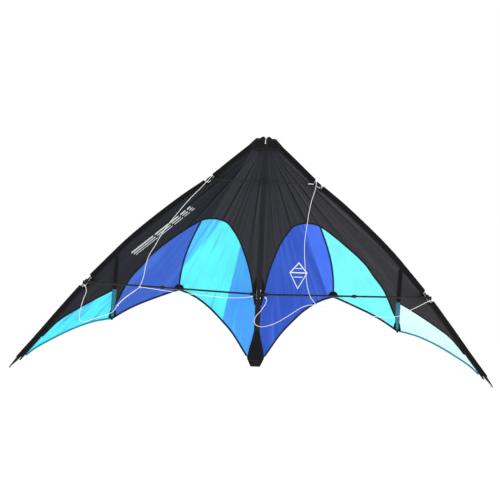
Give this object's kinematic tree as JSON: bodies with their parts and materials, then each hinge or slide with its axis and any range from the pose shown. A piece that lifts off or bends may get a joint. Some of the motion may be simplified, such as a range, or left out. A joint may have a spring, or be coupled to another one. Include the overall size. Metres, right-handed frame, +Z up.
{
  "type": "delta stunt kite",
  "caption": "Dual-line delta kite with a bellied black, blue and cyan ripstop sail on a folding rod frame, with a slack white bridle.",
  "frame": {"origin": "centre T, where the two lower spreaders meet in front of the spine", "axes": "+X along the span to the right as seen from the bridle side, +Y away from the bridle side, +Z up the spine to the nose"},
  "size_m": [1.601, 0.1394, 0.7899],
  "materials": {
    "black_ripstop": "thin woven ripstop nylon, faint sheen",
    "cyan_ripstop": "thin translucent ripstop nylon",
    "royal_blue_ripstop": "thin translucent ripstop nylon",
    "pale_aqua_ripstop": "thin translucent ripstop nylon, very pale",
    "black_dacron": "dense woven polyester tape",
    "black_rod": "smooth pultruded fibreglass rod",
    "black_rubber": "satin moulded rubber",
    "black_plastic": "moulded nylon",
    "ferrule_aluminium": "drawn tube",
    "white_line": "braided polyester line"
  },
  "bodies": {
    "keel": {"spine_rod": "black_rod", "upper_spine_sleeve": "black_ripstop", "lower_spine_sleeve": "black_ripstop", "nose_cap": "black_dacron", "tail_strap": "black_dacron", "tail_patch": "black_dacron", "centre_t": "black_rubber"},
    "left_wing": {"left_nose_flap": "black_dacron", "left_upper_le_spar": "black_rod", "left_lower_le_spar": "black_rod", "left_le_ferrule": "ferrule_aluminium", "left_le_sleeve_top": "black_dacron", "left_le_sleeve_middle": "black_dacron", "left_le_sleeve_tip": "black_dacron", "left_upper_connector": "black_rubber", "left_lower_connector": "black_rubber", "left_tip_nock": "black_plastic", "left_batten": "black_rod", "left_batten_cap": "black_plastic", "left_centre_panel": "black_ripstop", "left_leading_panel": "black_ripstop", "left_inner_window": "cyan_ripstop", "left_outer_window": "royal_blue_ripstop", "left_tip_panel": "cyan_ripstop", "left_lower_spreader": "black_rod", "left_t_arm": "black_rubber", "left_bridle_upper_leg": "white_line", "left_bridle_inhaul": "white_line", "left_bridle_lower_leg": "white_line"},
    "right_wing": {"right_nose_flap": "black_dacron", "right_upper_le_spar": "black_rod", "right_lower_le_spar": "black_rod", "right_le_ferrule": "ferrule_aluminium", "right_le_sleeve_top": "black_dacron", "right_le_sleeve_middle": "black_dacron", "right_le_sleeve_tip": "black_dacron", "right_upper_connector": "black_rubber", "right_lower_connector": "black_rubber", "right_tip_nock": "black_plastic", "right_batten": "black_rod", "right_batten_cap": "black_plastic", "right_centre_panel": "black_ripstop", "right_leading_panel": "black_ripstop", "right_inner_window": "royal_blue_ripstop", "right_outer_window": "cyan_ripstop", "right_tip_panel": "pale_aqua_ripstop", "right_lower_spreader": "black_rod", "right_t_arm": "black_rubber", "right_bridle_upper_leg": "white_line", "right_bridle_inhaul": "white_line", "right_bridle_lower_leg": "white_line"},
    "upper_spreader": {"upper_spreader": "black_rod", "upper_spreader_left_socket": "black_rubber", "upper_spreader_right_socket": "black_rubber"},
    "left_standoff": {"left_standoff_rod": "black_rod", "left_standoff_clip": "black_plastic", "left_standoff_cap": "black_rubber"},
    "right_standoff": {"right_standoff_rod": "black_rod", "right_standoff_clip": "black_plastic", "right_standoff_cap": "black_rubber"}
  },
  "joints": [
    {"name": "left_wing_fold", "type": "hinge", "parent": "keel", "child": "left_wing", "pos_m": [0, 0.005, 0], "axis": [0, 0, -1], "range_deg": [0, 60]},
    {"name": "right_wing_fold", "type": "hinge", "parent": "keel", "child": "right_wing", "pos_m": [0, 0.005, 0], "axis": [0, 0, 1], "range_deg": [0, 60]},
    {"name": "upper_spreader_swing", "type": "hinge", "parent": "left_wing", "child": "upper_spreader", "pos_m": [-0.161, -0.009, 0.37], "axis": [0, 1, 0], "range_deg": [0, 90]},
    {"name": "left_standoff_swing", "type": "hinge", "parent": "left_wing", "child": "left_standoff", "pos_m": [-0.31589, -0.009, 0.00831], "axis": [-0.9997, 0, 0.0263], "range_deg": [0, 85]},
    {"name": "right_standoff_swing", "type": "hinge", "parent": "right_wing", "child": "right_standoff", "pos_m": [0.31589, -0.009, 0.00831], "axis": [-0.9997, 0, -0.0263], "range_deg": [0, 85]}
  ]
}
